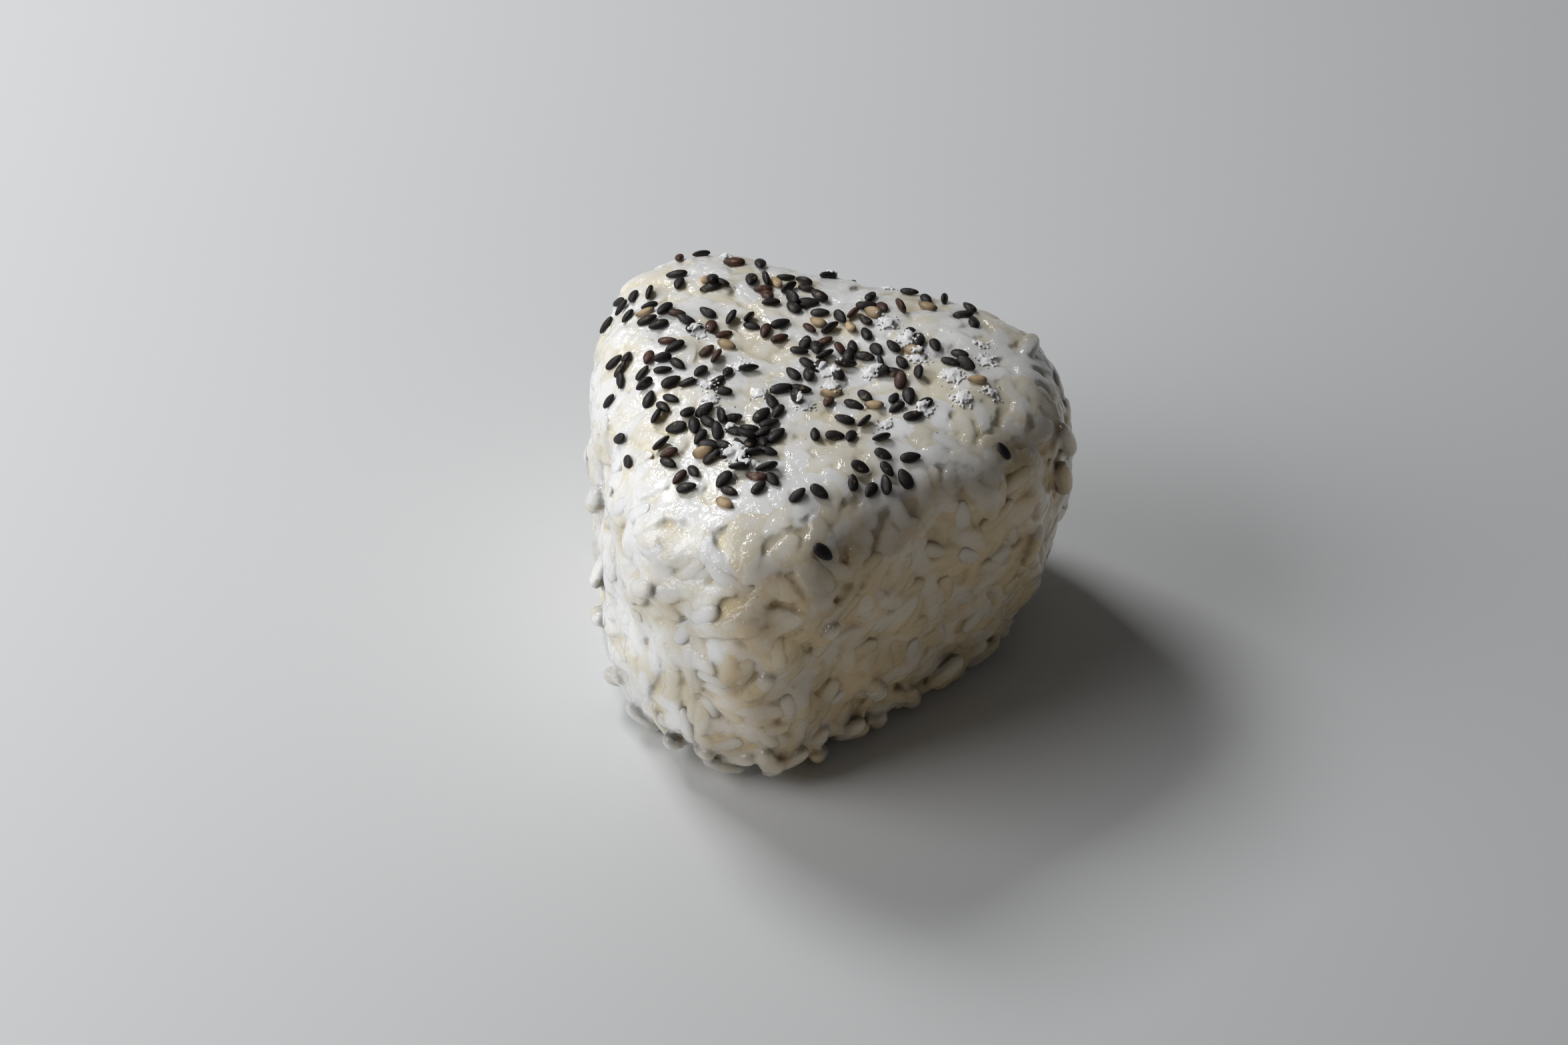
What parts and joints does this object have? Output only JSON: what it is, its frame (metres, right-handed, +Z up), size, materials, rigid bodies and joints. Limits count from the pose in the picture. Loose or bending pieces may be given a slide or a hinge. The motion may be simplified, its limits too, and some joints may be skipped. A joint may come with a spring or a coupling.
{
  "type": "onigiri rice ball",
  "caption": "Triangular hand-pressed ball of cooked short-grain rice lying on one flat face, its upper face scattered with black sesame seeds and coarse salt.",
  "frame": {"origin": "on the table, under the middle of the ball's footprint box", "axes": "+Z up out of the seeded upper face; a corner of the rounded triangle points to -Y and its flat side faces +Y"},
  "size_m": [0.075, 0.076, 0.0477],
  "materials": {
    "cooked_rice": "moist cooked rice, warm white, soft uneven gloss",
    "sesame": "black and brown sesame seeds, dull with a faint oily sheen and worn tan patches",
    "salt": "coarse white salt in small crumbly clusters"
  },
  "bodies": {
    "root": {"rice_ball": "cooked_rice"}
  },
  "joints": []
}
